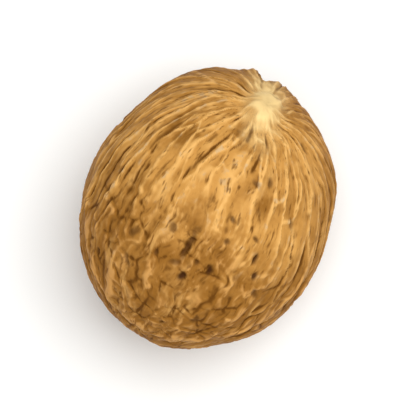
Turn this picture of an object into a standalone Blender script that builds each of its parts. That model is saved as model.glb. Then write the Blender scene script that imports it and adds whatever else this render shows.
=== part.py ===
"""A whole nutmeg: the dried kernel of one seed, lying on its flatter side.

Metres, +Z up. +X runs along the kernel towards the hilum, the pale scar where the seed was attached, and +Y is
to its left. The origin is at the middle of the footprint, on the surface that the nutmeg lies on.

A nutmeg is one solid, and so is this one. A sphere of even quads is stretched into an egg, and then every point
moves along the egg's normal by the height of the forms there: broad swells, the ribs that run from the hilum to
the chalaza, the seam round the blunt end, the boss of the hilum and the dimple of the chalaza. Last, the
underside is planed to the small flat that the nutmeg lies on.
"""

import cmath
import math

import bmesh
import bpy
from mathutils import Vector, noise

MM = 0.001

# Driving dimensions of the smooth egg.
LENGTH = 24.8 * MM
WIDTH = 20.8 * MM
HEIGHT = 19.4 * MM
NARROWING = 0.02  # share of the width and height lost towards the hilum, and gained towards the blunt end
QUADS_PER_SIDE = 28  # of the cube that the sphere is made from

# The two ends that the ribs join, as unit directions from the kernel's middle. The hilum sits well above the long
# axis, and the chalaza a little below it.
HILUM = Vector((0.75, -0.12, 0.65)).normalized()
CHALAZA = Vector((-0.98, 0.08, -0.16)).normalized()

# Broad swells and hollows: azimuth and elevation in degrees, reach and height in millimetres.
SWELLS = (
    (30, 6, 3.0, 0.22),  # the full shoulder to the left of the hilum
    (6, 8, 0.9, 0.40),  # the knuckle at that shoulder's end
    (-56, 5, 3.6, 0.36),  # the lower shoulder on the right
    (-8, 4, 1.6, 0.28),
    (-100, -5, 4.5, 0.16),
    (-150, 2, 3.4, -0.46),  # a flattening to the right of the chalaza
    (160, -2, 5.0, -0.30),
    (126, 0, 4.2, -0.12),
    (62, 2, 3.6, -0.14),
    (45, 4, 2.6, 0.14),
    (-150, 62, 4.0, -0.22),  # a shallow hollow on the upper side
    (20, 70, 5.0, 0.16),
)

# Ribs, from pole to pole.
RIBS = 26
RIB_HEIGHT = 0.09 * MM  # of a crest over the egg, and of a furrow under it
RIB_SWAY = 2.6  # radians that a rib wanders, measured in the ribs' phase
RIB_PATCHES_ROUND = 1.6  # noise cells for each radian of turn, over which sway and weight change
RIB_PATCHES_ALONG = 1.1  # the same along the ribs
RIB_WEIGHT = 0.75  # of a middling rib, and how far a rib's weight strays from it
RIB_WEIGHT_RANGE = 0.50
WEIGHT_OFFSET = Vector((7.0, 0.0, 0.0))  # keeps the weight's noise apart from the sway's
RIB_EVENING = 0.45  # draws ribs from the short way between the poles to the long way round
RIB_SPACINGS = (1.0 * MM, 1.9 * MM)  # ribs fade out as their spacing falls from the second to the first
RIB_FLOOR = (-0.94, -0.74)  # they fade out too between these levels, as shares of the half height

# The seam: a thin raised lip round the blunt end, with a groove under it.
SEAM_LEVEL = 0.32  # height of the seam as a share of the half height
SEAM_TILT = 0.05  # how much higher it runs on the left
SEAM_ENDS = (0.15, -0.35)  # it fades in between these places, as shares of the half length
LIP_HEIGHT = 0.13 * MM
LIP_WIDTH = 0.55 * MM
GROOVE_DEPTH = 0.15 * MM
GROOVE_DROP = 0.90 * MM  # from the lip down to the groove's middle

# The hilum's boss, longer along the kernel than across it, and the moat round it.
BOSS_LENGTH = 5.0 * MM
BOSS_WIDTH = 2.8 * MM
BOSS_HEIGHT = 0.32 * MM
BOSS_SHOULDER = (0.55, 1.25)  # where its top ends and its foot begins, as shares of its half size
MOAT_PLACE = 1.35  # the middle of the moat, as such a share
MOAT_DEPTH = 0.22 * MM
MOAT_WIDTH = 1.0 * MM

# The chalaza's dimple.
DIMPLE_RADIUS = 1.6 * MM
DIMPLE_DEPTH = 0.35 * MM

FLAT_DEPTH = 0.34 * MM  # planed off the underside

KERNEL_COLOUR = (0.455, 0.232, 0.068, 1.0)
KERNEL_ROUGHNESS = 0.62


def clear_scene():
    """Removes whatever the scene starts with."""
    for leftover in list(bpy.data.objects):
        bpy.data.objects.remove(leftover, do_unlink=True)


def smooth_step(start, end, value):
    """0 at the start and before it, 1 at the end and past it, and an even turn between them."""
    share = min(max((value - start) / (end - start), 0.0), 1.0)
    return share * share * (3.0 - 2.0 * share)


def bell(distance, reach):
    """1 at no distance, falling away evenly to nothing past about two reaches."""
    return math.exp(-((distance / reach) ** 2))


def egg_point(direction):
    """The smooth egg's point in a unit direction."""
    taper = 1.0 - NARROWING * direction.x
    return 0.5 * Vector((LENGTH * direction.x, taper * WIDTH * direction.y, taper * HEIGHT * direction.z))


def egg_normal(direction):
    """The smooth egg's outward normal there."""
    return Vector((direction.x / LENGTH, direction.y / WIDTH, direction.z / HEIGHT)).normalized()


def direction_at(azimuth, elevation):
    """The unit direction at an azimuth from +X and an elevation, both in degrees."""
    turn, rise = math.radians(azimuth), math.radians(elevation)
    return Vector((math.cos(turn) * math.cos(rise), math.sin(turn) * math.cos(rise), math.sin(rise)))


def pole_coordinates(direction):
    """How far a point lies from the hilum to the chalaza, and how far round, with the ribs evenly spread.

    The lines of equal turn are the circles through both poles, which the ribs follow. Also gives how fast the
    turn changes for each unit of arc, which tells how close together the ribs are.
    """
    towards = (CHALAZA - CHALAZA.dot(HILUM) * HILUM).normalized()
    across = HILUM.cross(towards)
    flat = complex(direction.dot(towards), direction.dot(across)) / max(1.0 + direction.dot(HILUM), 1e-6)
    far_pole = CHALAZA.dot(towards) / (1.0 + CHALAZA.dot(HILUM))
    beyond = 1.0 - flat / far_pole
    if abs(flat) < 1e-6 or abs(beyond) < 1e-6:
        return 0.0, 0.0, 1e6
    ratio = flat / beyond
    turn = cmath.phase(ratio)
    rate = (1.0 + abs(flat) ** 2) / (2.0 * abs(flat) * abs(beyond))
    even_turn = turn - RIB_EVENING * math.sin(turn)
    return math.log(abs(ratio)), even_turn, rate * (1.0 - RIB_EVENING * math.cos(turn))


def swell_height(point):
    """Height of the broad swells and hollows."""
    height = 0.0
    for azimuth, elevation, reach, rise in SWELLS:
        middle = egg_point(direction_at(azimuth, elevation))
        height += rise * MM * bell((point - middle).length, reach * MM)
    return height


def rib_height(direction):
    """Height of the ribs and furrows, which fade out where they crowd at the poles, and where the kernel lies."""
    along, turn, rate = pole_coordinates(direction)
    spacing = math.pi * WIDTH / (RIBS * rate)
    strength = smooth_step(*RIB_SPACINGS, spacing) * smooth_step(*RIB_FLOOR, direction.z)
    round_kernel = RIB_PATCHES_ROUND * Vector((math.cos(turn), math.sin(turn), 0.0))
    place = round_kernel + Vector((0.0, 0.0, RIB_PATCHES_ALONG * along))
    sway = RIB_SWAY * noise.noise(place)
    weight = RIB_WEIGHT + RIB_WEIGHT_RANGE * noise.noise(2.0 * place + WEIGHT_OFFSET)
    return RIB_HEIGHT * strength * weight * math.cos(RIBS * turn + sway)


def seam_height(direction, point):
    """Height of the seam's lip and groove, which run round the blunt end and fade out along the sides."""
    strength = smooth_step(*SEAM_ENDS, direction.x)
    above = point.z - 0.5 * HEIGHT * (SEAM_LEVEL + SEAM_TILT * direction.y)
    lip = LIP_HEIGHT * bell(above, LIP_WIDTH)
    groove = GROOVE_DEPTH * bell(above + GROOVE_DROP, LIP_WIDTH)
    return strength * (lip - groove)


def boss_height(point):
    """Height of the hilum's boss and of the moat round it."""
    middle = egg_point(HILUM)
    normal = egg_normal(HILUM)
    uphill = (Vector((0.0, 0.0, 1.0)) - normal.z * normal).normalized()
    offset = point - middle
    lengthwise = offset.dot(uphill) / (0.5 * BOSS_LENGTH)
    crosswise = offset.dot(uphill.cross(normal)) / (0.5 * BOSS_WIDTH)
    inwards = offset.dot(normal) / (0.5 * BOSS_WIDTH)
    outwards = math.hypot(lengthwise, crosswise, inwards)
    boss = BOSS_HEIGHT * (1.0 - smooth_step(*BOSS_SHOULDER, outwards))
    moat = MOAT_DEPTH * bell((outwards - MOAT_PLACE) * 0.5 * BOSS_WIDTH, MOAT_WIDTH)
    return boss - moat


def dimple_height(point):
    """Depth of the chalaza's dimple, as a height below the egg."""
    return -DIMPLE_DEPTH * bell((point - egg_point(CHALAZA)).length, DIMPLE_RADIUS)


def kernel_point(direction):
    """The finished surface's point in a unit direction."""
    point = egg_point(direction)
    height = (
        swell_height(point)
        + rib_height(direction)
        + seam_height(direction, point)
        + boss_height(point)
        + dimple_height(point)
    )
    return point + height * egg_normal(direction)


def quad_sphere(quads_per_side):
    """A unit sphere of even quads, from a cube whose grids are bent to equal angles."""
    sphere = bmesh.new()
    bmesh.ops.create_cube(sphere, size=2.0)
    bmesh.ops.subdivide_edges(sphere, edges=sphere.edges[:], cuts=quads_per_side - 1, use_grid_fill=True)
    for vertex in sphere.verts:
        bent = Vector(math.tan(0.25 * math.pi * share) for share in vertex.co)
        vertex.co = bent.normalized()
    return sphere


def plane_underside(kernel):
    """Planes the underside to a flat, and sets the kernel down with its footprint's middle at the origin."""
    level = min(vertex.co.z for vertex in kernel.verts) + FLAT_DEPTH
    for vertex in kernel.verts:
        vertex.co.z = max(vertex.co.z, level)
    low = Vector(min(vertex.co[axis] for vertex in kernel.verts) for axis in range(3))
    high = Vector(max(vertex.co[axis] for vertex in kernel.verts) for axis in range(3))
    middle = 0.5 * (low + high)
    bmesh.ops.translate(kernel, verts=kernel.verts[:], vec=(-middle.x, -middle.y, -low.z))


def kernel_material():
    """Dry golden-brown seed kernel, matt to faintly waxy."""
    material = bpy.data.materials.new("dried_kernel")
    material.use_nodes = True
    shader = material.node_tree.nodes["Principled BSDF"]
    shader.inputs["Base Color"].default_value = KERNEL_COLOUR
    shader.inputs["Roughness"].default_value = KERNEL_ROUGHNESS
    shader.inputs["Metallic"].default_value = 0.0
    material.diffuse_color = KERNEL_COLOUR
    return material


def build_kernel(collection):
    """The nutmeg's one solid."""
    kernel = quad_sphere(QUADS_PER_SIDE)
    for vertex in kernel.verts:
        vertex.co = kernel_point(vertex.co)
    plane_underside(kernel)
    bmesh.ops.recalc_face_normals(kernel, faces=kernel.faces[:])
    mesh = bpy.data.meshes.new("kernel")
    kernel.to_mesh(mesh)
    kernel.free()
    mesh.shade_smooth()
    mesh.materials.append(kernel_material())
    collection.objects.link(bpy.data.objects.new("kernel", mesh))


def main():
    """Clears the scene and builds the nutmeg in its own collection."""
    clear_scene()
    nutmeg = bpy.data.collections.new("nutmeg")
    bpy.context.scene.collection.children.link(nutmeg)
    build_kernel(nutmeg)


main()
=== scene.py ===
"""A whole nutmeg lying on a pale studio floor.

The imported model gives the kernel's solid and its place. This script lays the finished surface over it: the
same egg, swells, ribs, seam, scar and dimple, with the finer crests, furrows, wrinkles, pits and cracks of
a dried seed, and the finish that colours its crests, its furrows and the pale scar.

Lengths are in metres unless a name says otherwise. +X runs towards the hilum, the scar of the seed's stalk,
+Y to the kernel's left and +Z up.
"""

from __future__ import annotations

import logging
import math
import random
from collections.abc import Iterator
from dataclasses import dataclass
from enum import Enum

import bmesh
import bpy
import numpy as np
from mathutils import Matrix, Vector, noise

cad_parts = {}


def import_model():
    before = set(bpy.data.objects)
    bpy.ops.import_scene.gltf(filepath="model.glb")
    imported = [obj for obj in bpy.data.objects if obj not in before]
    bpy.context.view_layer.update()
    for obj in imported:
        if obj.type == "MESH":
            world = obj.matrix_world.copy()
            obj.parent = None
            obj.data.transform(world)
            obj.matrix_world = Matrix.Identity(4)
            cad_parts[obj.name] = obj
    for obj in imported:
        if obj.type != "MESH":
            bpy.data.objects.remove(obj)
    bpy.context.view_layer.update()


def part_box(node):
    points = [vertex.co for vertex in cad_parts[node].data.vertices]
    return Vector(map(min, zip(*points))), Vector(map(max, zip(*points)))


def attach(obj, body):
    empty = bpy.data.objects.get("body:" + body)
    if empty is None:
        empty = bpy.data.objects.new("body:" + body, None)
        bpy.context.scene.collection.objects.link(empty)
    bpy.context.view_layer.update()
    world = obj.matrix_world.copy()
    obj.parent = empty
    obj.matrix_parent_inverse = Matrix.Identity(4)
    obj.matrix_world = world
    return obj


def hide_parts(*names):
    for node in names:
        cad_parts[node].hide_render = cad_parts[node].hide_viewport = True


MM = 0.001
TINY = 1e-6  # keeps divisions away from nothing
NODE = "kernel"
BODY = "root"
UPWARDS = (0.0, 90.0)  # an azimuth and an elevation, in degrees
MIX_SHARE, MIX_UNDER, MIX_OVER = 0, 6, 7  # the Mix node's inputs for colours
MIX_RESULT = 2  # and its output

Array = np.ndarray
Pair = tuple[float, float]  # two values, such as where a turn starts and where it is done
LOG = logging.getLogger("nutmeg")


def smooth_step(start: float, end: float, value: Array) -> Array:
    """Turns evenly from 0 at the start to 1 at the end, which may be the smaller of the two."""
    share = np.clip((value - start) / (end - start), 0.0, 1.0)
    return share * share * (3.0 - 2.0 * share)


def between(ends: Pair, share: Array) -> Array:
    """Goes evenly from one value at a share of 0 to another at a share of 1."""
    return ends[0] + (ends[1] - ends[0]) * share


def bell(distance: Array, reach: float) -> Array:
    """Falls away evenly from 1 at no distance to about a third at the reach."""
    return np.exp(-((distance / reach) ** 2))


def noise_at(places: Array) -> Array:
    """Smooth noise, from about -1 to 1, at places given one a row in noise cells."""
    return np.array([noise.noise(place) for place in places.tolist()])


def cell_borders(places: Array) -> tuple[Array, Array]:
    """Measures how far places lie from the borders of irregular cells.

    Args:
        places: One row of three coordinates for each place, in cells.

    Returns:
        The distance of each place from the nearest border, and the unit direction across that border.
    """
    found = [noise.voronoi(place) for place in places.tolist()]
    squares = np.array([[distances[0] ** 2, distances[1] ** 2] for distances, _ in found])
    across = np.array([middles[1] - middles[0] for _, middles in found])
    apart = np.linalg.norm(across, axis=1)
    return (squares[:, 1] - squares[:, 0]) / (2.0 * apart), across / apart[:, None]


def unit_rows(rows: Array) -> Array:
    """Scales each row's vector to length 1."""
    return rows / np.linalg.norm(rows, axis=1, keepdims=True)


def heading(azimuth: float, elevation: float) -> tuple[float, float, float]:
    """The unit direction at a turn to the left of +X and a rise over the level, in degrees."""
    turn, rise = math.radians(azimuth), math.radians(elevation)
    return math.cos(turn) * math.cos(rise), math.sin(turn) * math.cos(rise), math.sin(rise)


def linear_colour(code: str) -> tuple[float, float, float, float]:
    """Turns an sRGB hex colour to the linear values that shaders take.

    Args:
        code: Six hex digits after a hash.

    Returns:
        Linear red, green and blue, and an alpha of 1.
    """
    shares = [int(code[start:start + 2], 16) / 255.0 for start in (1, 3, 5)]
    linear = [s / 12.92 if s <= 0.04045 else ((s + 0.055) / 1.055) ** 2.4 for s in shares]
    return (linear[0], linear[1], linear[2], 1.0)


def feed(tree: bpy.types.NodeTree, node: bpy.types.Node, inputs: dict[str | int, object]) -> None:
    """Gives a node's inputs their values and links.

    Args:
        tree: The node tree that it belongs to.
        node: The node.
        inputs: For each input socket, a value or the output socket that feeds it.
    """
    for name, value in inputs.items():
        if isinstance(value, bpy.types.NodeSocket):
            tree.links.new(value, node.inputs[name])
        else:
            node.inputs[name].default_value = value


def add_node(
    tree: bpy.types.NodeTree,
    kind: str,
    settings: dict[str, object] | None = None,
    inputs: dict[str | int, object] | None = None,
) -> bpy.types.Node:
    """Adds a node with its settings and links.

    Args:
        tree: The node tree that it joins.
        kind: The node's type name.
        settings: Properties of the node by name.
        inputs: For each input socket, a value or the output socket that feeds it.

    Returns:
        The new node.
    """
    node = tree.nodes.new(kind)
    for name, value in (settings or {}).items():
        setattr(node, name, value)
    feed(tree, node, inputs or {})
    return node


def quad_sphere(quads_per_side: int) -> tuple[bmesh.types.BMesh, Array]:
    """Makes a unit sphere of even quads, from a cube whose grids are bent to equal angles.

    Args:
        quads_per_side: Quads along each edge of the cube.

    Returns:
        The sphere, and the unit direction of each of its vertices, one a row.
    """
    sphere = bmesh.new()
    bmesh.ops.create_cube(sphere, size=2.0)
    bmesh.ops.subdivide_edges(sphere, edges=sphere.edges[:], cuts=quads_per_side - 1, use_grid_fill=True)
    for vertex in sphere.verts:
        bent = Vector(math.tan(0.25 * math.pi * share) for share in vertex.co)
        vertex.co = bent.normalized()
    return sphere, np.array([vertex.co[:] for vertex in sphere.verts])


@dataclass(frozen=True)
class Egg:
    """The smooth body that every form of the kernel stands on."""

    length: float = 24.8 * MM
    width: float = 20.8 * MM
    height: float = 19.4 * MM
    narrowing: float = 0.02

    def points(self, directions: Array) -> Array:
        """Finds the egg's points.

        Args:
            directions: One unit direction a row.

        Returns:
            The point in each direction.
        """
        taper = 1.0 - self.narrowing * directions[:, 0]
        half_sizes = 0.5 * np.array([self.length, self.width, self.height])
        return directions * half_sizes * np.column_stack([np.ones_like(taper), taper, taper])

    def normals(self, directions: Array) -> Array:
        """The egg's outward normals in unit directions, one a row."""
        return unit_rows(directions / np.array([self.length, self.width, self.height]))

    def direction_from_above(self, x_mm: float, y_mm: float) -> Array:
        """Finds where a plan position lies on the upper side.

        Args:
            x_mm: The position towards the hilum, in millimetres from the middle.
            y_mm: The position to the left.

        Returns:
            The unit direction of that place, as one row.
        """
        across = np.array([2.0 * x_mm * MM / self.length, 2.0 * y_mm * MM / self.width])
        rise = math.sqrt(max(1.0 - float(across @ across), 0.0))
        return unit_rows(np.array([[across[0], across[1], rise]]))


@dataclass(frozen=True)
class Poles:
    """The two ends that every rib joins, and the coordinates that run between them."""

    hilum: tuple[float, float, float] = (0.75, -0.12, 0.65)
    chalaza: tuple[float, float, float] = (-0.98, 0.08, -0.16)
    evening: float = 0.45  # draws ribs from the short way between the poles to the long way round

    def hilum_row(self) -> Array:
        """The hilum's unit direction, as one row."""
        return unit_rows(np.array([self.hilum]))

    def chalaza_row(self) -> Array:
        """The chalaza's unit direction, as one row."""
        return unit_rows(np.array([self.chalaza]))

    def coordinates(self, directions: Array) -> tuple[Array, Array, Array]:
        """Places each direction along and round the kernel.

        Lines of equal turn are the circles through both poles, which the ribs follow. On a flat map with
        the hilum in the middle and the chalaza endlessly far off they are straight rays.

        Args:
            directions: One unit direction a row.

        Returns:
            How far along from the hilum, the turn in radians, and the turn's change for each unit of arc.
        """
        hilum, chalaza = self.hilum_row()[0], self.chalaza_row()[0]
        towards = chalaza - (chalaza @ hilum) * hilum
        towards /= np.linalg.norm(towards)
        across = np.cross(hilum, towards)
        scale = np.maximum(1.0 + directions @ hilum, TINY)
        flat = (directions @ towards + 1j * (directions @ across)) / scale
        beyond = 1.0 - flat * (1.0 + chalaza @ hilum) / (chalaza @ towards)
        flat = np.where(np.abs(flat) < TINY, TINY, flat)
        beyond = np.where(np.abs(beyond) < TINY, TINY, beyond)
        ratio = flat / beyond
        turn = np.angle(ratio)
        rate = (1.0 + np.abs(flat) ** 2) / (2.0 * np.abs(flat) * np.abs(beyond))
        even_turn = turn - self.evening * np.sin(turn)
        return np.log(np.abs(ratio)), even_turn, rate * (1.0 - self.evening * np.cos(turn))


@dataclass(frozen=True)
class Border:
    """An uneven border across the kernel, which parts the blunt end from the rest."""

    begins_mm: float  # towards the hilum from the middle
    done_mm: float
    strays_mm: float
    bay_mm: float  # the size of its bays
    seed: float

    def share(self, surface: Surface) -> Array:
        """0 on the hilum's side of the border, and 1 on the blunt end's side."""
        strayed = surface.points[:, 0] / MM + self.strays_mm * surface.noise_mm(self.bay_mm, self.seed)
        return smooth_step(self.begins_mm, self.done_mm, strayed)


@dataclass
class Surface:
    """The places of the smooth egg that forms are read at, one a row."""

    egg: Egg
    poles: Poles
    directions: Array
    blunt_border: Border = Border(0.5, -6.0, 2.5, 3.0, 71.0)  # short lines take over there
    # How the fine lines wander: the size of the noise's cells, and how far it moves the lines by the hilum
    # and at the blunt end, all in millimetres.
    wanders: tuple[tuple[float, Pair], ...] = (
        (5.0, (0.7, 0.7)),
        (1.9, (0.18, 0.40)),
        (0.9, (0.08, 0.26)),
    )

    def __post_init__(self) -> None:
        """Works out the points, their pole coordinates and how the fine lines stray from those."""
        self.points = self.egg.points(self.directions)
        self.along, self.turn, self.rate = self.poles.coordinates(self.directions)
        self.blunt = self.blunt_border.share(self)
        self.wavy_turn = self.turn + self.wander_mm(seed=0.0) * self.rate / self.radius_mm()
        self.wavy_along = self.along + self.wander_mm(seed=9.0) * self.rate / self.radius_mm()

    def radius_mm(self) -> float:
        """The egg's radius across, in millimetres."""
        return 0.5 * self.egg.width / MM

    def wander_mm(self, seed: float) -> Array:
        """How far the fine lines stray at each point, in millimetres. The seed sets two readings apart."""
        readings = [(ends, self.noise_mm(cell, cell + seed)) for cell, ends in self.wanders]
        return sum(between(ends, self.blunt) * reading for ends, reading in readings)

    def grain(self, stretch: float) -> Array:
        """Coordinates for grain that is longer than wide, in about millimetres of its width, one a row."""
        round_kernel = self.radius_mm() * np.stack([np.cos(self.wavy_turn), np.sin(self.wavy_turn)], axis=1)
        return np.column_stack([round_kernel, self.radius_mm() / stretch * self.along])

    def distance_mm(self, direction: Array) -> Array:
        """Distance of every point from the place in one unit direction, in millimetres."""
        return np.linalg.norm(self.points - self.egg.points(direction), axis=1) / MM

    def noise_mm(self, cell_mm: float, seed: float) -> Array:
        """Noise at every point, from cells of one size. The seed sets two readings apart."""
        return noise_at(self.points / (cell_mm * MM) + seed)

    def offsets(self, direction: Array, towards: Pair, length_mm: float, width_mm: float) -> Array:
        """Splits each point's offset from the middle of an oval form on the egg.

        Args:
            direction: The unit direction of the form's middle, as one row.
            towards: The azimuth and elevation of its length, before it is laid along the egg.
            length_mm: The form's length.
            width_mm: The form's width.

        Returns:
            Rows of offsets: lengthwise in half lengths, and to the left and outwards in half widths.
        """
        normal = self.egg.normals(direction)[0]
        lengthwise = np.array(heading(*towards))
        lengthwise -= (lengthwise @ normal) * normal
        lengthwise /= np.linalg.norm(lengthwise)
        axes = np.array([lengthwise, np.cross(normal, lengthwise), normal])
        half_sizes = 0.5 * MM * np.array([[length_mm], [width_mm], [width_mm]])
        return axes @ (self.points - self.egg.points(direction)).T / half_sizes


@dataclass(frozen=True)
class Swell:
    """A broad swell or hollow of the egg."""

    azimuth: float  # of its middle, in degrees to the left of +X
    elevation: float
    reach_mm: float
    rise_mm: float

    def height(self, surface: Surface) -> Array:
        """The swell's height over the egg at each place, in millimetres."""
        middle = np.array([heading(self.azimuth, self.elevation)])
        return self.rise_mm * bell(surface.distance_mm(middle), self.reach_mm)


SWELLS = (
    Swell(30, 6, 3.0, 0.22),  # the full shoulder to the left of the hilum
    Swell(6, 8, 0.9, 0.40),  # the knuckle at that shoulder's end
    Swell(-56, 5, 3.6, 0.36),  # the lower shoulder on the right
    Swell(-8, 4, 1.6, 0.28),  # the bump below the scar
    Swell(-100, -5, 4.5, 0.16),  # the full right side
    Swell(-150, 2, 3.4, -0.46),  # a flattening to the right of the chalaza
    Swell(160, -2, 5.0, -0.30),  # and three along the left side
    Swell(126, 0, 4.2, -0.12),
    Swell(62, 2, 3.6, -0.14),
    Swell(45, 4, 2.6, 0.14),  # the swell between those and the shoulder
    Swell(-150, 62, 4.0, -0.22),  # a shallow hollow on the upper side
    Swell(20, 70, 5.0, 0.16),
)


@dataclass(frozen=True)
class Ribs:
    """The low ribs that run from the hilum to the chalaza."""

    count: int = 26
    height_mm: float = 0.09
    sway: float = 2.6  # how far a rib strays sideways, in radians of its own wave
    patches_round: float = 1.6  # cells of its noise in each radian round the kernel, and along it
    patches_along: float = 1.1
    weight: float = 0.75
    weight_range: float = 0.50
    weight_fineness: float = 2.0  # how much smaller the patches of heavier and lighter ribs are
    weight_offset: tuple[float, float, float] = (7.0, 0.0, 0.0)
    spacings_mm: Pair = (1.0, 1.9)  # where the ribs are gone, and where they are full
    floor: Pair = (-0.94, -0.74)  # the same, as a unit direction's z

    def height(self, surface: Surface) -> Array:
        """Finds the ribs' height. They fade out where they crowd, and where the kernel lies.

        Args:
            surface: The places to read.

        Returns:
            The height at each place, in millimetres.
        """
        spacing = 2.0 * math.pi * surface.radius_mm() / (self.count * surface.rate)
        strength = smooth_step(*self.spacings_mm, spacing)
        strength *= smooth_step(*self.floor, surface.directions[:, 2])
        patches_round = self.patches_round * np.array([np.cos(surface.turn), np.sin(surface.turn)])
        place = np.column_stack([*patches_round, self.patches_along * surface.along])
        sway = self.sway * noise_at(place)
        patches = noise_at(self.weight_fineness * place + np.array(self.weight_offset))
        weight = self.weight + self.weight_range * patches
        return self.height_mm * strength * weight * np.cos(self.count * surface.turn + sway)


@dataclass(frozen=True)
class Seam:
    """The thin raised lip round the blunt end, with a groove under it."""

    level: float = 0.32  # over the egg's middle, as a share of its half height
    tilt: float = 0.05  # how much higher that is on the left side
    ends: Pair = (0.15, -0.35)  # where it starts and is full, as a unit direction's x
    lip_mm: float = 0.13
    width_mm: float = 0.55
    groove_mm: float = 0.15
    drop_mm: float = 0.90  # from the lip to the groove

    def height(self, surface: Surface) -> Array:
        """Finds the height of the lip and the groove.

        Args:
            surface: The places to read.

        Returns:
            The height at each place, in millimetres.
        """
        level = 0.5 * surface.egg.height * (self.level + self.tilt * surface.directions[:, 1])
        above = (surface.points[:, 2] - level) / MM
        strength = smooth_step(*self.ends, surface.directions[:, 0])
        lip = self.lip_mm * bell(above, self.width_mm)
        groove = self.groove_mm * bell(above + self.drop_mm, self.width_mm)
        return strength * (lip - groove)


@dataclass(frozen=True)
class Scar:
    """The hilum: an oval boss with a moat round it."""

    length_mm: float = 5.0
    width_mm: float = 2.8
    rise_mm: float = 0.32
    shoulder: Pair = (0.55, 1.25)  # where the boss falls away, as shares of its half size
    moat_place: float = 1.35
    moat_mm: float = 0.22
    moat_width_mm: float = 1.0
    bare_width_mm: float = 2.3  # of the bare wood on the boss
    bare_spill: float = 1.7  # how many times further it reaches down the end than up the boss
    bare_lean: float = 0.55  # how far it leans to the left as it runs down, as shares of the half sizes
    pore_up_mm: float = -2.0  # its place up the boss, from the boss's middle
    pore_mm: float = 0.32
    pore_rim_mm: float = 0.17
    pore_depth_mm: float = 0.12
    pore_darkness: float = 0.30
    pore_dullness: float = 0.5  # how much of the bare wood's pale colour its rim takes away
    pore_unevenness: float = 0.9
    pore_cell_mm: float = 0.7
    pore_firmness: float = 0.7  # how much of its rim stands, where the noise is even
    pore_side: Pair = (-2.0, -1.0)  # keeps it off the kernel's far side
    # The bare wood's strong pale coat and the faint one further out: each one's share, and where it starts
    # to fade and is gone.
    bare_coats: tuple[tuple[float, Pair], ...] = ((0.60, (0.45, 1.30)), (0.34, (0.7, 2.5)))
    bare_strays: float = 0.55  # how unevenly they end
    bare_bay_mm: float = 0.8
    bare_combed: float = 0.45  # how far they run out along the crests, and back along the furrows
    skin_kept: Pair = (0.35, 1.0)  # the share of the fine relief on the bare wood and off it
    skin_turn: Pair = (0.5, 1.5)

    def offsets(self, surface: Surface) -> Array:
        """Rows of offsets from the scar's middle: up in half lengths, and across and out in half widths."""
        return surface.offsets(surface.poles.hilum_row(), UPWARDS, self.length_mm, self.width_mm)

    def from_bare(self, surface: Surface) -> Array:
        """Measures how far places lie from the scar's bare wood.

        Args:
            surface: The places to read.

        Returns:
            The distance from the scar's middle, which is 1 at the edge of the bare wood.
        """
        up, across, out = self.offsets(surface)
        spill = np.where(up < 0.0, self.bare_spill, 1.0)
        across = (across - self.bare_lean * up) * self.width_mm / self.bare_width_mm
        return np.sqrt((up / spill) ** 2 + across ** 2 + (out / spill) ** 2)

    def off_bare(self, surface: Surface) -> Array:
        """The share of the skin's fine relief that stands at each place, which is less on the bare wood."""
        return between(self.skin_kept, smooth_step(*self.skin_turn, self.from_bare(surface)))

    def paleness(self, surface: Surface, lines: Array) -> Array:
        """Finds how bare and pale the wood is.

        Args:
            surface: The places to read.
            lines: The skin's long lines, from 1 on a crest to -1 in a furrow.

        Returns:
            The share of the scar's own colour at each place.
        """
        strays = self.bare_strays * surface.noise_mm(self.bare_bay_mm, seed=60.0)
        ragged = self.from_bare(surface) + strays - self.bare_combed * self.off_bare(surface) * lines
        pale = sum(share * (1.0 - smooth_step(*ends, ragged)) for share, ends in self.bare_coats)
        return pale * (1.0 - self.pore_dullness * self.pore_rim(surface))

    def pore_rim(self, surface: Surface) -> Array:
        """Finds the sunken rim of the small pore at the boss's lower end.

        Args:
            surface: The places to read.

        Returns:
            1 where the rim is deepest, and 0 away from it.
        """
        up, across, out = self.offsets(surface)
        from_pore = np.hypot(0.5 * self.length_mm * up - self.pore_up_mm, 0.5 * self.width_mm * across)
        uneven = self.pore_unevenness * surface.noise_mm(self.pore_cell_mm, seed=47.0)
        rim = bell(from_pore - self.pore_mm * (1.0 + uneven), self.pore_rim_mm)
        return rim * np.clip(self.pore_firmness + uneven, 0.0, 1.0) * smooth_step(*self.pore_side, out)

    def height(self, surface: Surface) -> Array:
        """Finds the height of the boss and of the moat.

        Args:
            surface: The places to read.

        Returns:
            The height at each place, in millimetres.
        """
        away = np.linalg.norm(self.offsets(surface), axis=0)
        boss = self.rise_mm * (1.0 - smooth_step(*self.shoulder, away))
        moat = self.moat_mm * bell((away - self.moat_place) * 0.5 * self.width_mm, self.moat_width_mm)
        return boss - moat


@dataclass(frozen=True)
class Dimple:
    """The chalaza: a dimple at the blunt end, where the ribs meet again."""

    radius_mm: float = 1.6
    depth_mm: float = 0.35

    def height(self, surface: Surface) -> Array:
        """Depth of the dimple, as a height below the egg, in millimetres."""
        return -self.depth_mm * bell(surface.distance_mm(surface.poles.chalaza_row()), self.radius_mm)


class Pattern(Enum):
    """How the fine lines of a pattern run."""

    WINDING = "winding"  # lines that wander and end
    NETTED = "netted"  # lines that meet and close round cells


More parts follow.
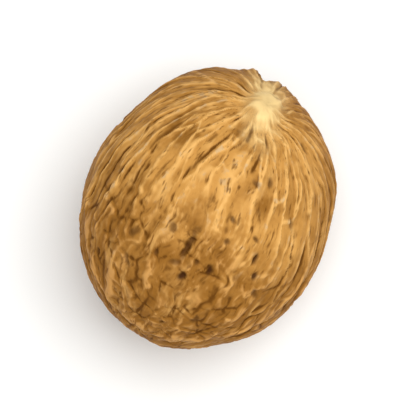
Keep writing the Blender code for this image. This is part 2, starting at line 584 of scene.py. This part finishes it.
@dataclass(frozen=True)
class Veins:
    """Fine lines that run from pole to pole at an even spacing, and branch where the ribs spread."""

    pattern: Pattern
    height_mm: float  # over the ground, and negative for lines that are sunk
    spacing_mm: float
    stretch: float  # how many times longer the pattern is than it is wide
    half_width: float  # as a share of the spacing
    seed: float
    slopes: Pair = (0.35, 1.0)  # a winding line is gone at the first, and full at the second
    least_slope: float = 0.2  # keeps a netted line from spreading where a border runs straight across
    step: float = 0.05  # for reading slopes, in cells
    cell_counts: Pair = (0.25, 64.0)  # the fewest and most cells for each radian of turn

    def strength(self, turn: Array, along: Array, cells: float) -> Array:
        """Draws the lines at one spacing. A winding line fades out where its two sides would run apart.

        Args:
            turn: The turn of each place.
            along: How far along the kernel it lies.
            cells: The pattern's cells for each radian of turn.

        Returns:
            1 on each line's middle, and 0 away from the lines.
        """
        sideways = np.stack([-np.sin(turn), np.cos(turn), np.zeros_like(turn)], axis=1)
        place = cells * np.stack([np.cos(turn), np.sin(turn), along / self.stretch], axis=1) + self.seed
        if self.pattern is Pattern.WINDING:
            height = noise_at(place)
            slope = np.hypot(
                (noise_at(place + self.step * sideways) - height) / self.step,
                (noise_at(place + np.array([0.0, 0.0, self.step])) - height) / (self.step * self.stretch),
            )
            steep = smooth_step(*self.slopes, slope)
            return steep * bell(height / np.maximum(slope, self.slopes[0]), self.half_width)
        border, across = cell_borders(place)
        slope = np.hypot((across * sideways).sum(axis=1), across[:, 2] / self.stretch)
        return bell(border / np.maximum(slope, self.least_slope), self.half_width)

    def lines(self, surface: Surface) -> Array:
        """Finds the lines.

        Args:
            surface: The places to read.

        Returns:
            1 on each line's middle, and 0 away from the lines.
        """
        level = np.log2(np.clip(surface.radius_mm() / (self.spacing_mm * surface.rate), *self.cell_counts))
        whole = np.floor(level)
        share = smooth_step(0.0, 1.0, level - whole)
        lines = np.zeros(len(level))
        for octave in range(int(whole.min()), int(whole.max()) + 2):
            weight = np.where(whole == octave, 1.0 - share, np.where(whole + 1.0 == octave, share, 0.0))
            used = weight > 0.0
            drawn = self.strength(surface.wavy_turn[used], surface.wavy_along[used], 2.0 ** octave)
            lines[used] += weight[used] * drawn
        return lines


@dataclass(frozen=True)
class Mark:
    """A pit, hole or crack of the surface. One on the upper side is placed in plan."""

    x_mm: float
    y_mm: float
    length_mm: float
    width_mm: float
    depth_mm: float
    lean: float = 0.0  # degrees that its length is turned to the left of +X
    darkness: float = 0.65
    raggedness: float = 0.50
    ragged_cell_mm: float = 0.45
    wall: Pair = (0.35, 1.25)  # its foot and its top, as shares of the half size
    clear_of: float = 3.0  # nothing is read further out than this

    def share(self, surface: Surface, direction: Array) -> Array:
        """Shapes the mark round a place.

        Args:
            surface: The places to read.
            direction: The unit direction of the mark's middle, as one row.

        Returns:
            1 at the mark's bottom, and 0 outside it.
        """
        along, across, out = surface.offsets(direction, (self.lean, 0.0), self.length_mm, self.width_mm)
        away = np.sqrt(along ** 2 + across ** 2 + (out * self.width_mm / self.length_mm) ** 2)
        near = away < self.clear_of
        away[near] += self.raggedness * noise_at(surface.points[near] / (self.ragged_cell_mm * MM))
        return 1.0 - smooth_step(*self.wall, away)


# Each at its place towards the hilum and to the left, with its length, width, depth, lean and darkness.
MARKS = (
    Mark(-4.2, -0.45, 3.4, 0.65, 0.34, -4.0, 0.80),  # the leaning crack in the middle
    Mark(-5.5, -2.9, 0.85, 0.72, 0.32, 0.0, 1.0),  # two insect holes below it
    Mark(-6.9, -0.9, 1.00, 0.75, 0.32, -20.0, 1.0),
    Mark(-5.4, -1.6, 0.70, 0.50, 0.15),  # and two pits beside those
    Mark(-5.9, 1.8, 0.65, 0.50, 0.18),
    Mark(-2.9, -5.9, 1.30, 0.50, 0.22, 15.0, 0.95),  # a row of pits on the right
    Mark(-4.2, -6.4, 0.75, 0.55, 0.20, 10.0, 0.95),
    Mark(-5.4, -6.9, 1.00, 0.65, 0.18, 60.0),
    Mark(-1.5, -5.3, 0.80, 0.45, 0.16, 70.0, 0.75),
    Mark(3.3, -4.4, 1.10, 0.55, 0.20, 10.0),  # single pits on the right
    Mark(2.6, -3.4, 0.90, 0.50, 0.16, 80.0),
    Mark(-0.9, -2.9, 1.00, 0.45, 0.16, 50.0, 0.75),
    Mark(-2.8, -3.2, 0.65, 0.55, 0.16, 0.0, 0.75),
    Mark(1.0, -7.4, 1.20, 0.40, 0.16, 40.0),
    Mark(7.5, -5.7, 1.20, 0.45, 0.16, 70.0),
    Mark(-7.5, 6.5, 0.65, 0.55, 0.24, 0.0, 0.8),  # and on the left and the blunt end
    Mark(-11.8, 1.3, 0.65, 0.50, 0.20, 60.0, 0.8),
    Mark(-10.8, -0.8, 0.60, 0.45, 0.14),
    Mark(-0.6, 7.4, 1.40, 0.50, 0.16, -30.0),
    Mark(-2.5, 7.8, 1.00, 0.50, 0.16, -40.0),
    Mark(-3.6, 7.3, 0.80, 0.45, 0.16, -30.0),
    Mark(-5.1, 4.2, 1.50, 0.70, 0.12, -37.0),  # soft folds
    Mark(-3.6, 1.4, 1.20, 0.80, 0.12, 30.0),
    Mark(-7.3, 3.9, 1.30, 0.50, 0.12, 30.0),
    Mark(-6.1, 0.1, 1.10, 0.60, 0.12, -50.0),
    Mark(-9.5, -3.3, 1.00, 0.70, 0.12, 0.0),
    Mark(-4.9, -5.1, 1.00, 0.70, 0.08, 0.0, 0.4),
    Mark(12.3, 0.0, 3.20, 1.60, 0.45, 0.0, 0.1),  # the notch between the knuckle and the scar
)


@dataclass(frozen=True)
class Strand:
    """A long crest or fold that keeps to the run of the ribs, at a plan position on the upper side."""

    x_mm: float
    y_mm: float
    length_mm: float
    width_mm: float
    height_mm: float  # of a crest over the ground, and negative for a fold
    turned: float = 0.0  # degrees that it is turned off the ribs' run, to the left
    tips: Pair = (0.5, 1.0)  # where it starts to fade and is gone, in half lengths

    def share(self, surface: Surface) -> Array:
        """Shapes the strand.

        Args:
            surface: The places to read.

        Returns:
            1 along the strand's middle, and 0 outside it.
        """
        direction = surface.egg.direction_from_above(self.x_mm, self.y_mm)
        middle = Surface(surface.egg, surface.poles, direction)
        turn = surface.wavy_turn - middle.wavy_turn
        turn -= 2.0 * math.pi * np.round(turn / (2.0 * math.pi))
        sideways = surface.radius_mm() * turn / surface.rate
        lengthwise = surface.radius_mm() * (surface.along - middle.along) / middle.rate
        lean = math.radians(self.turned)
        across = sideways * math.cos(lean) - lengthwise * math.sin(lean)
        onwards = lengthwise * math.cos(lean) + sideways * math.sin(lean)
        kept = 1.0 - smooth_step(*self.tips, np.abs(onwards) / (0.5 * self.length_mm))
        return kept * bell(across, 0.5 * self.width_mm)


# Each at its place towards the hilum and to the left, with its length, width, height and turn. Folds come
# first, so that the crests beside them lie over their edges.
STRANDS = (
    Strand(2.6, 5.7, 9.0, 0.45, -0.10),  # the long fold on the left, and shorter ones between the crests
    Strand(-0.1, 4.35, 4.0, 0.30, -0.08),
    Strand(4.7, 1.5, 2.0, 0.35, -0.07),
    Strand(2.0, 1.8, 1.8, 0.35, -0.07),
    Strand(6.0, -0.2, 1.6, 0.35, -0.07),
    Strand(8.7, 4.0, 2.8, 0.35, -0.08),
    Strand(-8.1, -3.4, 4.8, 0.50, -0.12, -8.0),  # the fold that runs down to the blunt end
    Strand(-9.1, 5.4, 5.2, 0.70, -0.10, -6.0),  # the groove outside the crescent
    Strand(-9.3, 4.5, 6.5, 0.60, 0.13, -6.0),  # the crescent, a lip to the left of the blunt end
    Strand(1.0, 3.2, 12.0, 0.55, 0.10),  # the longest crest, from the scar down to the left
    Strand(7.6, 4.3, 6.0, 0.45, 0.09),  # the crest that bends round above the scar
    Strand(2.7, 7.2, 3.2, 0.60, 0.08),
    Strand(0.8, 6.1, 2.4, 0.70, 0.08),
    Strand(-1.1, 3.1, 4.2, 0.60, 0.08),
    Strand(1.7, 0.8, 3.0, 0.50, 0.07, -15.0),
    Strand(2.6, -1.0, 9.0, 0.90, 0.09),  # the broad rubbed crest in the middle
    Strand(-6.6, 8.0, 6.0, 0.50, 0.09),  # the crest along the left edge
    Strand(-7.6, -6.3, 2.6, 0.40, 0.09, -9.0),
    Strand(-8.3, -3.0, 1.8, 0.35, 0.08),
    Strand(1.6, -2.7, 8.0, 1.10, 0.02),  # worn nearly flat, beside the broad crest
)


@dataclass(frozen=True)
class Pinholes:
    """Small pits strewn over the sides and the underside."""

    count: int = 46
    widths_mm: Pair = (0.30, 0.65)
    stretches: Pair = (1.0, 2.2)  # how many times longer than wide
    depths_mm: Pair = (0.08, 0.22)
    highest: float = 0.30  # no higher than this, as a unit direction's z
    seed: int = 11

    def marks(self) -> Iterator[tuple[Mark, Array]]:
        """Strews the pits.

        Yields:
            Each pit, and the unit direction of its middle, as one row.
        """
        draw = random.Random(self.seed)
        for _ in range(self.count):
            level = draw.uniform(-1.0, self.highest)
            turn = draw.uniform(-math.pi, math.pi)
            ring = math.sqrt(1.0 - level * level)
            direction = np.array([[ring * math.cos(turn), ring * math.sin(turn), level]])
            width = draw.uniform(*self.widths_mm)
            length = draw.uniform(*self.stretches) * width
            yield Mark(0.0, 0.0, length, width, draw.uniform(*self.depths_mm)), direction


@dataclass(frozen=True)
class Skin:
    """The fine relief of the dried seed.

    Long crests and furrows run down from the scar. Towards the blunt end they give way to patches of short
    wrinkles and of creases, and small puckers lie over them all.
    """

    # Each with its height, spacing, stretch, half width and seed.
    crests: Veins = Veins(Pattern.NETTED, 0.098, 1.15, 8.0, 0.12, 3.0)
    furrows: Veins = Veins(Pattern.WINDING, -0.130, 1.20, 9.0, 0.11, 21.0)
    wrinkles: Veins = Veins(Pattern.NETTED, 0.075, 1.35, 2.0, 0.12, 35.0)
    creases: Veins = Veins(Pattern.NETTED, -0.105, 1.40, 1.9, 0.11, 51.0)
    pucker_mm: float = 0.062
    pucker_cell_mm: float = 0.50
    # The share of each that is kept by the hilum, and at the blunt end.
    long_kept: Pair = (1.0, 0.55)
    short_kept: Pair = (0.15, 1.0)
    puckers_kept: Pair = (0.60, 1.0)
    # The patches, with the share of each that is kept in the creased ones and in the wrinkled ones.
    patch_mm: float = 1.7
    patch_turn: Pair = (-0.30, 0.30)
    wrinkles_kept: Pair = (0.25, 1.0)
    creases_kept: Pair = (1.0, 0.35)
    strand_hold: float = 0.85  # how far a strand takes the place of what lies under it

    def height(self, surface: Surface, crests: Array, furrows: Array, standing: Array) -> Array:
        """Finds the height of the fine relief.

        Args:
            surface: The places to read.
            crests: 1 on each long crest's middle.
            furrows: 1 on each long furrow's middle.
            standing: The share of the relief that stands at each place.

        Returns:
            The height at each place, in millimetres.
        """
        wrinkled = smooth_step(*self.patch_turn, surface.noise_mm(self.patch_mm, seed=90.0))
        wrinkles = between(self.wrinkles_kept, wrinkled) * self.wrinkles.lines(surface)
        creases = between(self.creases_kept, wrinkled) * self.creases.lines(surface)
        long_lines = self.crests.height_mm * crests + self.furrows.height_mm * furrows
        short_lines = self.wrinkles.height_mm * wrinkles + self.creases.height_mm * creases
        puckers = self.pucker_mm * surface.noise_mm(self.pucker_cell_mm, seed=33.0)
        kept = ((self.long_kept, long_lines), (self.short_kept, short_lines), (self.puckers_kept, puckers))
        fine = standing * sum(between(ends, surface.blunt) * height for ends, height in kept)
        for strand in STRANDS:
            fine += self.strand_hold * strand.share(surface) * (strand.height_mm - fine)
        return fine


@dataclass(frozen=True)
class DriedSeedFinish:
    """Sun-dried nutmeg kernel: oily, close-grained and rubbed smooth on its crests.

    It gives a warm golden brown with a low waxy sheen, darker in every furrow where dust of the red mace
    and the oil have settled, and pale straw on the bare, woody scar.
    """

    name: str = "sun_dried_seed_kernel"
    ior: float = 1.47
    specular: float = 0.06
    roughness: Pair = (0.66, 0.50)  # in the furrows, and on the rubbed crests
    fibre_depth_mm: float = 0.05
    speck_depth_mm: float = 0.02
    hues: tuple[tuple[str, str], ...] = (
        ("ground", "#BF8A44"),
        ("brown", "#8E5E22"),  # of the ground's blotches and of the blunt end, and painted shade on the sides and the underside
        ("crest", "#DCA961"),
        ("dull_and_shaded_crest", "#C38E4D"),  # the crests on the brown blunt end, and painted shade on the crests of the sides and the underside
        ("bloom", "#CBA877"),  # the grey bloom of starch that dries on some crests
        ("furrow", "#643C0D"),
        ("scar", "#F1D08F"),
        ("pit", "#43250C"),
    )
    # Noises: the coordinates that each one reads, its cells' size in millimetres, and its finer layers.
    noises: tuple[tuple[str, str, float, float], ...] = (
        ("blotch", "place", 2.6, 3.0),
        ("streak", "grain", 0.9, 2.0),
        ("dust", "place", 0.8, 2.0),
        ("fibre", "grain", 0.30, 2.0),
        ("speck", "place", 0.22, 2.0),
    )
    layer_strength: float = 0.55
    # Shares that are turned from a reading or a noise: its value where the share is 0, and where it is 1.
    turns: tuple[tuple[str, str, float, float], ...] = (
        ("blotched", "blotch", 0.40, 0.75),
        ("streaked", "streak", 0.50, 0.90),
        ("dusty", "dust", 0.54, 0.68),
        ("raised", "relief", 0.05, 0.95),
        ("fibrous", "fibre", 0.47, 0.20),
        ("sunken", "relief", -0.05, -0.90),
    )
    # Coats in the order that they lie: what each one makes, its share, and the colours under and over it.
    coats: tuple[tuple[str, str, str, str], ...] = (
        ("mottled", "blotched", "ground", "brown"),
        # browns the blunt end, and paints shade on the sides and the underside
        ("browned_and_shaded", "brown_and_shade", "mottled", "brown"),
        ("grained", "streaked", "browned_and_shaded", "crest"),
        ("bloomed", "dusty", "crest", "bloom"),
        # dulls the crests on the blunt end, and paints shade on the crests of the sides and the underside
        ("crest_browned_and_shaded", "brown_and_shade", "bloomed", "dull_and_shaded_crest"),
        ("crested", "raised", "grained", "crest_browned_and_shaded"),
        ("fibred", "fibrous", "crested", "furrow"),
        ("furrowed", "sunken", "fibred", "furrow"),
        ("scarred", "pale", "furrowed", "scar"),
        ("finished", "dark", "scarred", "pit"),
    )

    def readings(self, tree: bpy.types.NodeTree) -> dict[str, bpy.types.NodeSocket]:
        """Gathers what the finish depends on.

        Args:
            tree: The material's node tree.

        Returns:
            The sockets of the kernel's own readings, of the noises and of the shares turned from them.
        """
        found = {
            name: add_node(tree, "ShaderNodeAttribute", {"attribute_name": name}).outputs["Fac"]
            for name in ("relief", "pale", "dark", "brown_and_shade")
        }
        grain = add_node(tree, "ShaderNodeAttribute", {"attribute_name": "grain"}).outputs["Vector"]
        place = add_node(tree, "ShaderNodeTexCoord").outputs["Object"]
        coordinates = {"grain": (grain, 1.0), "place": (place, MM)}
        for name, source, size_mm, layers in self.noises:
            vector, unit = coordinates[source]
            inputs = {
                "Vector": vector,
                "Scale": 1.0 / (size_mm * unit),
                "Detail": layers,
                "Roughness": self.layer_strength,
            }
            found[name] = add_node(tree, "ShaderNodeTexNoise", None, inputs).outputs["Fac"]
        smooth = {"interpolation_type": "SMOOTHSTEP"}
        for name, source, start, end in self.turns:
            inputs = {"Value": found[source], "From Min": start, "From Max": end}
            found[name] = add_node(tree, "ShaderNodeMapRange", smooth, inputs).outputs["Result"]
        return found

    def material(self) -> bpy.types.Material:
        """Makes the finish's material.

        Returns:
            The material, which reads the kernel's relief, pale, dark and grain attributes, and its share of
            brown ground, which also holds painted shade on the sides and the underside.
        """
        material = bpy.data.materials.new(self.name)
        material.use_nodes = True
        tree = material.node_tree
        found = self.readings(tree)
        colours = {name: linear_colour(code) for name, code in self.hues}
        for name, share, under, over in self.coats:
            inputs = {MIX_SHARE: found[share], MIX_UNDER: colours[under], MIX_OVER: colours[over]}
            mix = add_node(tree, "ShaderNodeMix", {"data_type": "RGBA"}, inputs)
            colours[name] = mix.outputs[MIX_RESULT]

        low, high = self.roughness
        worn = {"Value": found["relief"], "From Min": -1.0, "To Min": low, "To Max": high}
        fibres = {"Height": found["fibre"], "Distance": self.fibre_depth_mm * MM}
        fibred = add_node(tree, "ShaderNodeBump", None, fibres).outputs["Normal"]
        specks = {"Height": found["speck"], "Distance": self.speck_depth_mm * MM, "Normal": fibred}
        inputs = {
            "Base Color": colours["finished"],
            "Roughness": add_node(tree, "ShaderNodeMapRange", None, worn).outputs["Result"],
            "Normal": add_node(tree, "ShaderNodeBump", None, specks).outputs["Normal"],
            "IOR": self.ior,
            "Specular IOR Level": self.specular,
            "Metallic": 0.0,
        }
        feed(tree, tree.nodes["Principled BSDF"], inputs)
        return material


@dataclass(frozen=True)
class PaperFinish:
    """Matt white backdrop paper: it gives an even pale ground with no shine."""

    name: str = "matt_backdrop_paper"
    sheet: str = "#F4F4F2"
    roughness: float = 0.9

    def material(self) -> bpy.types.Material:
        """Makes the paper's material.

        Returns:
            The material.
        """
        material = bpy.data.materials.new(self.name)
        material.use_nodes = True
        tree = material.node_tree
        inputs = {"Base Color": linear_colour(self.sheet), "Roughness": self.roughness}
        feed(tree, tree.nodes["Principled BSDF"], inputs)
        return material


@dataclass
class Kernel:
    """The nutmeg's one piece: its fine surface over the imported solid."""

    egg: Egg = Egg()
    poles: Poles = Poles()
    ribs: Ribs = Ribs()
    seam: Seam = Seam()
    scar: Scar = Scar()
    dimple: Dimple = Dimple()
    skin: Skin = Skin()
    pinholes: Pinholes = Pinholes()
    finish: DriedSeedFinish = DriedSeedFinish()
    brown_border: Border = Border(-1.5, -5.5, 2.0, 2.6, 80.0)
    underside: Pair = (0.66, 0.16)  # painted shade that darkens the sides and the underside: where it starts and is full, as a unit direction's z
    brown: float = 0.92  # how strongly the brown ground and the painted shade are laid, and how far that strays from patch to patch
    brown_range: float = 0.40
    brown_patch_mm: float = 1.3
    grain_stretch: float = 5.0
    full_relief_mm: float = 0.11  # of fine height that colours a crest or a furrow fully
    ribs_seen: float = 0.18  # how much of their height counts as relief, and of the seam's
    lip_seen: float = 0.5
    groove_seen: float = 0.2
    solid_quads: int = 28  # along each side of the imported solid's cube
    quads: int = 128  # and of this surface's, which stays under 200,000 triangles
    flat_mm: float = 0.34  # how far the flat that it lies on is cut into the forms

    def coarse_height(self, surface: Surface) -> Array:
        """Height of the main forms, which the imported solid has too, at each place in millimetres."""
        forms = (*SWELLS, self.ribs, self.seam, self.scar, self.dimple)
        return sum(form.height(surface) for form in forms)

    def holes(self, surface: Surface) -> tuple[Array, Array]:
        """Gathers the pits, holes and cracks and the scar's pore.

        Args:
            surface: The places to read.

        Returns:
            How dark they are at each place, and their depth there in millimetres.
        """
        placed = [(mark, self.egg.direction_from_above(mark.x_mm, mark.y_mm)) for mark in MARKS]
        pore_rim = self.scar.pore_rim(surface)
        darkness, depth = self.scar.pore_darkness * pore_rim, self.scar.pore_depth_mm * pore_rim
        for mark, direction in (*placed, *self.pinholes.marks()):
            share = mark.share(surface, direction)
            darkness = np.maximum(darkness, mark.darkness * share)
            depth = np.maximum(depth, mark.depth_mm * share)
        return darkness, depth

    def relief(self, surface: Surface, fine: Array) -> Array:
        """Finds how far each place stands out from the skin round it.

        Args:
            surface: The places to read.
            fine: The height of the fine relief.

        Returns:
            From -1 in a full furrow to 1 on a full crest.
        """
        ribs = self.ribs_seen * self.ribs.height(surface)
        seam = self.seam.height(surface)
        seam = np.maximum(self.lip_seen * seam, self.groove_seen * seam)
        return (fine + ribs + seam) / self.full_relief_mm

    def brown_and_shade(self, surface: Surface) -> Array:
        """Finds the share of brown ground: the blunt end's own brown, and painted shade that darkens the
        sides and the underside, both in patches.

        Args:
            surface: The places to read.

        Returns:
            The share of the brown ground and of the painted shade at each place.
        """
        # Painted shade: the sides and the underside darken as they turn downwards.
        under = smooth_step(*self.underside, surface.directions[:, 2])
        patches = self.brown + self.brown_range * surface.noise_mm(self.brown_patch_mm, seed=14.0)
        return np.maximum(self.brown_border.share(surface), under) * np.clip(patches, 0.0, 1.0)

    def raised(self, surface: Surface, height: Array) -> Array:
        """The points that lie over the egg by a height in millimetres."""
        return surface.points + height[:, None] * MM * self.egg.normals(surface.directions)

    def place_in_frame(self) -> Array:
        """Finds where the egg's middle lies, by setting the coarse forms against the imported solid.

        Returns:
            The egg's middle in the frame, in metres.
        """
        sphere, directions = quad_sphere(self.solid_quads)
        sphere.free()
        surface = Surface(self.egg, self.poles, directions)
        points = self.raised(surface, self.coarse_height(surface))
        low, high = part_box(NODE)
        middle = 0.5 * (np.array(low) + np.array(high)) - 0.5 * (points.min(axis=0) + points.max(axis=0))
        middle[2] = low.z - (points[:, 2].min() + self.flat_mm * MM)
        return middle

    def build(self) -> bpy.types.Object:
        """Builds the fine surface.

        Returns:
            The kernel's object, in its place in the frame.
        """
        sphere, directions = quad_sphere(self.quads)
        surface = Surface(self.egg, self.poles, directions)
        crests, furrows = self.skin.crests.lines(surface), self.skin.furrows.lines(surface)
        fine = self.skin.height(surface, crests, furrows, self.scar.off_bare(surface))
        dark, depth = self.holes(surface)
        points = self.raised(surface, self.coarse_height(surface) + fine - depth) + self.place_in_frame()
        points[:, 2] = np.maximum(points[:, 2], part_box(NODE)[0].z)
        for vertex, point in zip(sphere.verts, points.tolist()):
            vertex.co = point
        mesh = bpy.data.meshes.new("kernel_surface")
        sphere.to_mesh(mesh)
        sphere.free()
        mesh.shade_smooth()
        readings = {
            "relief": self.relief(surface, fine),
            "pale": self.scar.paleness(surface, crests - furrows),
            "dark": dark,
            "brown_and_shade": self.brown_and_shade(surface),
            "grain": surface.grain(self.grain_stretch),
        }
        self.store(mesh, readings)
        kernel = bpy.data.objects.new("kernel_surface", mesh)
        bpy.context.scene.collection.objects.link(kernel)
        return kernel

    def store(self, mesh: bpy.types.Mesh, readings: dict[str, Array]) -> None:
        """Stores what the finish reads.

        Args:
            mesh: The mesh whose vertices the readings belong to.
            readings: Each reading's name, and its value or its three coordinates at each vertex.
        """
        for name, values in readings.items():
            kind, key = ("FLOAT", "value") if values.ndim == 1 else ("FLOAT_VECTOR", "vector")
            attribute = mesh.attributes.new(name, kind, "POINT")
            attribute.data.foreach_set(key, values.astype(np.float32).ravel())

    def dress(self, kernel: bpy.types.Object) -> None:
        """Gives the kernel its finish."""
        kernel.data.materials.append(self.finish.material())

    def add(self) -> None:
        """Builds and dresses the kernel, and hangs it on the frame."""
        kernel = self.build()
        self.dress(kernel)
        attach(kernel, BODY)
        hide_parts(NODE)
        LOG.info("%s: %d faces", kernel.name, len(kernel.data.polygons))


@dataclass(frozen=True)
class Lamp:
    """A square softbox, placed from the kernel's middle along the view's own directions."""

    name: str
    right_mm: float
    up_mm: float
    out_mm: float
    side_mm: float
    watts: float


LAMPS = (
    Lamp("key_softbox", 75.0, 50.0, 260.0, 300.0, 1.00),
    Lamp("fill_softbox", -150.0, -90.0, 190.0, 200.0, 0.16),
)


@dataclass
class Studio:
    """The floor, the soft lights and the camera."""

    azimuth: float = -65.4  # turns the hilum to the upper right of the view
    elevation: float = 82.0
    distance_mm: float = 260.0
    view_mm: float = 35.5  # width of the view at the kernel's middle
    sensor_mm: float = 36.0
    floor_mm: float = 900.0
    gap_mm: float = 0.02  # keeps the floor just clear of the flat that lies on it
    sky: str = "#FFFFFF"
    sky_strength: float = 0.33
    paper: PaperFinish = PaperFinish()

    def view_axes(self) -> tuple[Vector, Vector, Vector]:
        """Finds the camera's own directions.

        Returns:
            Its right, up and backward directions.
        """
        right = Vector(heading(self.azimuth, 0.0))
        back = Vector(heading(self.azimuth - 90.0, self.elevation))
        return right, back.cross(right), back

    def aimed(self, item: bpy.types.Object, place: Vector, target: Vector) -> None:
        """Places an object, and turns its -Z to a target and its top upwards.

        Args:
            item: The lamp or camera.
            place: Where it stands.
            target: What it looks at.
        """
        item.location = place
        item.rotation_euler = (target - place).to_track_quat("-Z", "Y").to_euler()
        bpy.context.scene.collection.objects.link(item)

    def add_floor(self, level: float) -> None:
        """Lays the paper floor.

        Args:
            level: Its height.
        """
        sheet = bmesh.new()
        bmesh.ops.create_grid(sheet, x_segments=1, y_segments=1, size=0.5 * self.floor_mm * MM)
        mesh = bpy.data.meshes.new("paper_floor")
        sheet.to_mesh(mesh)
        sheet.free()
        mesh.materials.append(self.paper.material())
        floor = bpy.data.objects.new("paper_floor", mesh)
        floor.location.z = level - self.gap_mm * MM
        bpy.context.scene.collection.objects.link(floor)
        LOG.info("%s laid", floor.name)

    def add_lamps(self, target: Vector) -> None:
        """Hangs the softboxes.

        Args:
            target: What they light.
        """
        right, up, back = self.view_axes()
        for lamp in LAMPS:
            light = bpy.data.lights.new(lamp.name, "AREA")
            light.size = lamp.side_mm * MM
            light.energy = lamp.watts
            place = target + MM * (lamp.right_mm * right + lamp.up_mm * up + lamp.out_mm * back)
            self.aimed(bpy.data.objects.new(lamp.name, light), place, target)
            LOG.info("%s hung", lamp.name)

    def add_sky(self) -> None:
        """Sets an even white surround."""
        world = bpy.data.worlds.new("white_surround")
        world.use_nodes = True
        background = world.node_tree.nodes["Background"]
        background.inputs["Color"].default_value = linear_colour(self.sky)
        background.inputs["Strength"].default_value = self.sky_strength
        bpy.context.scene.world = world

    def add_camera(self, target: Vector) -> None:
        """Sets up the camera.

        Args:
            target: What it looks at.
        """
        back = self.view_axes()[2]
        lens = bpy.data.cameras.new("camera")
        lens.sensor_width = self.sensor_mm
        lens.lens = self.sensor_mm * self.distance_mm / self.view_mm
        camera = bpy.data.objects.new("camera", lens)
        self.aimed(camera, target + self.distance_mm * MM * back, target)
        bpy.context.scene.camera = camera
        LOG.info("%s set at azimuth %.1f, elevation %.1f", camera.name, self.azimuth, self.elevation)

    def add(self, low: Vector, high: Vector) -> None:
        """Sets up the studio round the object.

        Args:
            low: The object's lowest corner.
            high: The object's highest corner.
        """
        target = 0.5 * (low + high)
        self.add_floor(low.z)
        self.add_lamps(target)
        self.add_sky()
        self.add_camera(target)
        bpy.context.scene.view_settings.view_transform = "Standard"


def main() -> None:
    """Loads the frame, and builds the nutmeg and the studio."""
    logging.basicConfig(level=logging.INFO, format="%(name)s: %(message)s")
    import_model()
    Kernel().add()
    Studio().add(*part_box(NODE))


if __name__ == "__main__":
    main()
